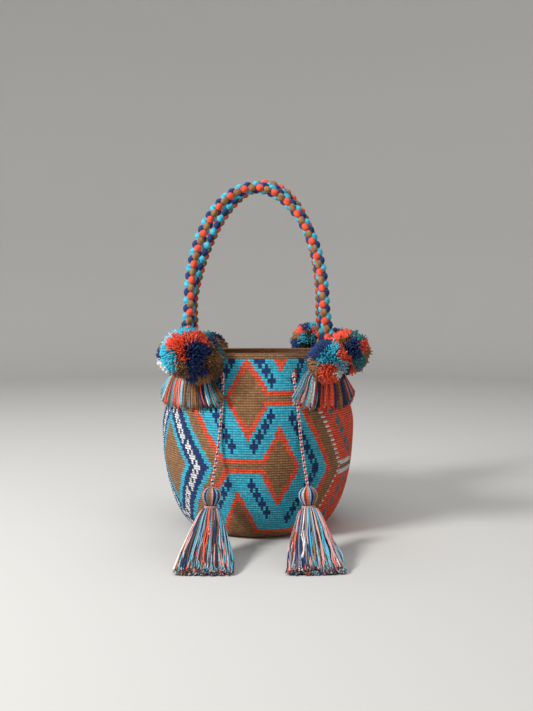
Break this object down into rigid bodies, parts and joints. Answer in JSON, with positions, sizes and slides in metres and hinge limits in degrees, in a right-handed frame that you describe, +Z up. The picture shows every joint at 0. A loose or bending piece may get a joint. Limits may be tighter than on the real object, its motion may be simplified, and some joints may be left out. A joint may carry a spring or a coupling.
{
  "type": "wayuu mochila bag",
  "caption": "Crocheted wayuu mochila bucket bag with two braided yarn handles, eight pompoms, yarn fringes and a drawcord with two tassels.",
  "frame": {"origin": "middle of the flat base, on the surface that the bag stands on", "axes": "+Z up through the mouth, -Y out of the front where the drawcord's ends come out, +X to the right as seen from the front"},
  "size_m": [0.2861, 0.3631, 0.4678],
  "materials": {
    "crochet": "matt crocheted cotton",
    "braid": "matt braided yarn",
    "cord": "matt braided cord",
    "tassel": "matt cut yarn",
    "fringe": "matt cut yarn",
    "pompom": "matt cut yarn",
    "wrap": "matt wound yarn"
  },
  "bodies": {
    "root": {"bag_body": "crochet", "cord_end_left": "cord", "cord_end_right": "cord", "drawcord": "cord", "fringe_front_left": "fringe", "fringe_front_right": "fringe", "fringe_rear_left": "fringe", "fringe_rear_right": "fringe", "handle_front": "braid", "handle_rear": "braid", "neck_wrap_left": "wrap", "neck_wrap_right": "wrap", "pompom_front_left_inner": "pompom", "pompom_front_left_outer": "pompom", "pompom_front_right_inner": "pompom", "pompom_front_right_outer": "pompom", "pompom_rear_left_inner": "pompom", "pompom_rear_left_outer": "pompom", "pompom_rear_right_inner": "pompom", "pompom_rear_right_outer": "pompom", "tassel_left": "tassel", "tassel_right": "tassel", "whipping_front_left": "wrap", "whipping_front_right": "wrap", "whipping_rear_left": "wrap", "whipping_rear_right": "wrap"}
  },
  "joints": []
}
